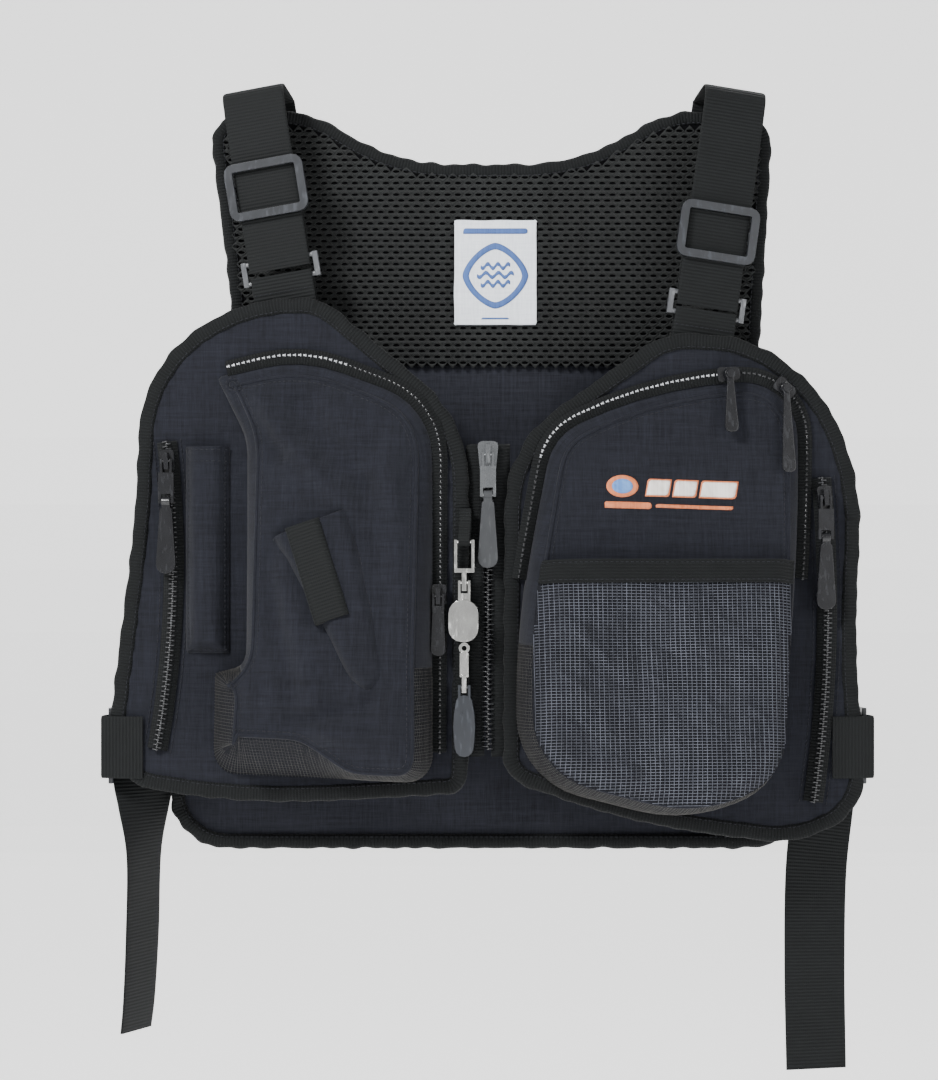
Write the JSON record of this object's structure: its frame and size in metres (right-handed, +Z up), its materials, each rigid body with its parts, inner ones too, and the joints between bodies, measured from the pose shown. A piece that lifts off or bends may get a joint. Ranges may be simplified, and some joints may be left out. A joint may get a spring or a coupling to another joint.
{
  "type": "fishing vest",
  "caption": "Short hanging fishing vest with a mesh-topped back, front zip, bellows chest pockets, adjustable shoulder and side webbing, and a retractor with a line nipper",
  "frame": {"origin": "midway between the two shoulder loops, on the line where they bear on what carries them", "axes": "+Z up, the fronts face -Y, and the wearer's right side is -X"},
  "size_m": [0.4752, 0.1064, 0.6125],
  "materials": {
    "outer_cloth": "tight plain-weave nylon, matt",
    "air_mesh": "padded spacer mesh, matt",
    "grid_mesh": "coated open grid, slight sheen",
    "binding": "ribbed binding tape, matt",
    "webbing": "ribbed nylon webbing",
    "buckle_plastic": "moulded, satin",
    "zip_teeth": "moulded teeth on woven tape",
    "zip_slider": "dark plated die casting",
    "pull_tab": "moulded, satin",
    "label": "woven white ground",
    "retractor_metal": "bright plated",
    "nipper": "satin black coat"
  },
  "bodies": {
    "back": {"back_mesh_yoke": "air_mesh", "back_lower_panel": "outer_cloth", "back_outer_shell": "outer_cloth", "back_binding": "binding", "woven_label": "label", "right_side_strap": "webbing", "left_side_strap": "webbing", "right_shoulder_strap": "webbing", "left_shoulder_strap": "webbing"},
    "right_front": {"right_front_panel": "outer_cloth", "right_front_binding": "binding", "right_zip_half": "zip_teeth", "right_pocket_gusset": "outer_cloth", "right_pocket_drain_mesh": "grid_mesh", "right_pocket_zip": "zip_teeth", "right_pocket_face": "outer_cloth", "tool_sleeve": "outer_cloth", "tool_sleeve_strap": "webbing", "slim_pocket": "outer_cloth", "right_side_zip": "zip_teeth", "right_ring_tab": "webbing", "right_side_tab": "webbing", "retractor_tab": "webbing"},
    "left_front": {"left_front_panel": "outer_cloth", "left_front_binding": "binding", "left_zip_half": "zip_teeth", "left_pocket_gusset": "outer_cloth", "left_pocket_drain_mesh": "grid_mesh", "left_pocket_zip": "zip_teeth", "left_pocket_face": "outer_cloth", "mesh_pocket": "grid_mesh", "mesh_pocket_hem": "outer_cloth", "left_side_zip": "zip_teeth", "left_ring_tab": "webbing", "left_side_tab": "webbing"},
    "centre_zip_slider": {"centre_zip_slider": "zip_slider"},
    "centre_pull_link": {"centre_pull_link": "zip_slider"},
    "centre_pull_tab": {"centre_pull_tab": "pull_tab"},
    "right_side_slider": {"right_side_slider": "zip_slider"},
    "right_side_pull_link": {"right_side_pull_link": "zip_slider"},
    "right_side_pull_tab": {"right_side_pull_tab": "pull_tab"},
    "left_side_slider": {"left_side_slider": "zip_slider"},
    "left_side_pull_link": {"left_side_pull_link": "zip_slider"},
    "left_side_pull_tab": {"left_side_pull_tab": "pull_tab"},
    "right_chest_slider": {"right_chest_slider": "zip_slider"},
    "right_chest_slider_tab": {"right_chest_slider_tab": "pull_tab"},
    "left_chest_inner_slider": {"left_chest_inner_slider": "zip_slider"},
    "left_chest_inner_slider_tab": {"left_chest_inner_slider_tab": "pull_tab"},
    "left_chest_outer_slider": {"left_chest_outer_slider": "zip_slider"},
    "left_chest_outer_slider_tab": {"left_chest_outer_slider_tab": "pull_tab"},
    "right_strap_slider": {"right_strap_slider": "buckle_plastic"},
    "left_strap_slider": {"left_strap_slider": "buckle_plastic"},
    "right_square_ring": {"right_square_ring": "buckle_plastic"},
    "left_square_ring": {"left_square_ring": "buckle_plastic"},
    "right_ladder_buckle": {"right_ladder_buckle": "buckle_plastic"},
    "left_ladder_buckle": {"left_ladder_buckle": "buckle_plastic"},
    "retractor_clip": {"retractor_clip": "retractor_metal"},
    "retractor_reel": {"retractor_reel": "retractor_metal"},
    "retractor_snap": {"retractor_snap": "retractor_metal"},
    "line_nipper": {"line_nipper": "nipper"}
  },
  "joints": [
    {"name": "left_front_open", "type": "hinge", "parent": "back", "child": "left_front", "pos_m": [0.15147, 0, 0], "axis": [-0.1972, -0.0136, 0.9803], "range_deg": [0, 55], "deforming": ["left_shoulder_strap", "left_side_strap", "left_zip_half"]},
    {"name": "right_front_open", "type": "hinge", "parent": "back", "child": "right_front", "pos_m": [-0.14341, 0, 0], "axis": [-0.2159, 0.0136, -0.9763], "range_deg": [0, 55], "deforming": ["right_shoulder_strap", "right_side_strap", "right_zip_half"]},
    {"name": "centre_zip_run", "type": "slide", "parent": "left_front", "child": "centre_zip_slider", "axis": [0, 0, -1], "range_m": [0, 0.165]},
    {"name": "centre_link_swing", "type": "hinge", "parent": "centre_zip_slider", "child": "centre_pull_link", "pos_m": [0, -0.03481, -0.2243], "axis": [-1, 0, 0], "range_deg": [0, 100]},
    {"name": "centre_tab_swing", "type": "hinge", "parent": "centre_pull_link", "child": "centre_pull_tab", "pos_m": [0, -0.03481, -0.2488], "axis": [-1, 0, 0], "range_deg": [0, 80]},
    {"name": "right_side_zip_run", "type": "hinge", "parent": "right_front", "child": "right_side_slider", "pos_m": [-0.82179, 0.0709, -0.28996], "axis": [0.1219, 0.9925, 0], "range_deg": [0, 15.04]},
    {"name": "right_side_link_swing", "type": "hinge", "parent": "right_side_slider", "child": "right_side_pull_link", "pos_m": [-0.19571, -0.01796, -0.22793], "axis": [-0.9925, 0.1219, 0], "range_deg": [0, 100]},
    {"name": "right_side_tab_swing", "type": "hinge", "parent": "right_side_pull_link", "child": "right_side_pull_tab", "pos_m": [-0.19571, -0.01796, -0.25243], "axis": [-0.9925, 0.1219, 0], "range_deg": [0, 80]},
    {"name": "left_side_zip_run", "type": "hinge", "parent": "left_front", "child": "left_side_slider", "pos_m": [-0.60695, -0.10452, -0.31644], "axis": [-0.1219, 0.9925, 0], "range_deg": [0, 12.33]},
    {"name": "left_side_link_swing", "type": "hinge", "parent": "left_side_slider", "child": "left_side_pull_link", "pos_m": [0.20597, -0.0167, -0.24995], "axis": [-0.9925, -0.1219, 0], "range_deg": [0, 100]},
    {"name": "left_side_tab_swing", "type": "hinge", "parent": "left_side_pull_link", "child": "left_side_pull_tab", "pos_m": [0.20597, -0.0167, -0.27445], "axis": [-0.9925, -0.1219, 0], "range_deg": [0, 80]},
    {"name": "right_chest_zip_run", "type": "slide", "parent": "right_front", "child": "right_chest_slider", "axis": [0.0042, -0.0005, 1], "range_m": [-0.08, 0.085]},
    {"name": "right_chest_tab_swing", "type": "hinge", "parent": "right_chest_slider", "child": "right_chest_slider_tab", "pos_m": [-0.02974, -0.03834, -0.3095], "axis": [-0.9925, 0.1219, 0.0043], "range_deg": [0, 100]},
    {"name": "left_chest_inner_zip_run", "type": "hinge", "parent": "left_front", "child": "left_chest_inner_slider", "pos_m": [0.16861, -0.0093, -0.44361], "axis": [0.1219, -0.9925, 0], "range_deg": [0, 19.27]},
    {"name": "left_chest_inner_tab_swing", "type": "hinge", "parent": "left_chest_inner_slider", "child": "left_chest_inner_slider_tab", "pos_m": [0.14676, -0.02402, -0.17515], "axis": [-0.1219, 0.9925, 0], "range_deg": [-25, 60]},
    {"name": "left_chest_outer_zip_run", "type": "hinge", "parent": "left_front", "child": "left_chest_outer_slider", "pos_m": [0.15534, -0.01093, -0.213], "axis": [-0.1219, 0.9925, 0], "range_deg": [0, 38]},
    {"name": "left_chest_outer_tab_hang", "type": "hinge", "parent": "left_chest_outer_slider", "child": "left_chest_outer_slider_tab", "pos_m": [0.18135, -0.01977, -0.18351], "axis": [0.1219, -0.9925, 0], "range_deg": [0, 40]},
    {"name": "right_strap_adjust", "type": "slide", "parent": "right_front", "child": "right_strap_slider", "axis": [-0.1604, 0.0197, 0.9869], "range_m": [-0.018, 0.018]},
    {"name": "right_ring_tilt", "type": "hinge", "parent": "right_front", "child": "right_square_ring", "pos_m": [-0.1255, -0.01046, -0.11635], "axis": [0.9795, -0.1203, 0.1616], "range_deg": [-12, 12]},
    {"name": "right_buckle_turn", "type": "hinge", "parent": "right_front", "child": "right_ladder_buckle", "pos_m": [-0.23253, 0.0056, -0.403], "axis": [0, 0, 1], "range_deg": [-15, 15]},
    {"name": "left_strap_adjust", "type": "slide", "parent": "left_front", "child": "left_strap_slider", "axis": [0.1381, 0.017, 0.9903], "range_m": [-0.016, 0.036]},
    {"name": "left_ring_tilt", "type": "hinge", "parent": "left_front", "child": "left_square_ring", "pos_m": [0.13303, -0.00954, -0.13854], "axis": [0.9829, 0.1207, -0.1392], "range_deg": [-12, 12]},
    {"name": "left_buckle_turn", "type": "hinge", "parent": "left_front", "child": "left_ladder_buckle", "pos_m": [0.23253, 0.0056, -0.403], "axis": [0, 0, 1], "range_deg": [-15, 15]},
    {"name": "retractor_clip_swing", "type": "hinge", "parent": "right_front", "child": "retractor_clip", "pos_m": [-0.01417, -0.03874, -0.277], "axis": [-0.9925, 0.1219, 0], "range_deg": [0, 70]},
    {"name": "retractor_reel_swing", "type": "hinge", "parent": "retractor_clip", "child": "retractor_reel", "pos_m": [-0.01417, -0.03874, -0.3015], "axis": [-0.9925, 0.1219, 0], "range_deg": [0, 70]},
    {"name": "retractor_line_pull", "type": "slide", "parent": "retractor_reel", "child": "retractor_snap", "axis": [0, 0, -1], "range_m": [0, 0.35]},
    {"name": "nipper_swing", "type": "hinge", "parent": "retractor_snap", "child": "line_nipper", "pos_m": [-0.01417, -0.03874, -0.3643], "axis": [-0.9925, 0.1219, 0], "range_deg": [0, 70]}
  ],
  "couplings": [
    {"joint": "right_front_open", "follows": "left_front_open", "ratio": 1},
    {"joint": "centre_zip_run", "follows": "left_front_open", "m_per_rad": 0.17172},
    {"joint": "left_chest_outer_tab_hang", "follows": "left_chest_outer_zip_run", "ratio": 1}
  ]
}
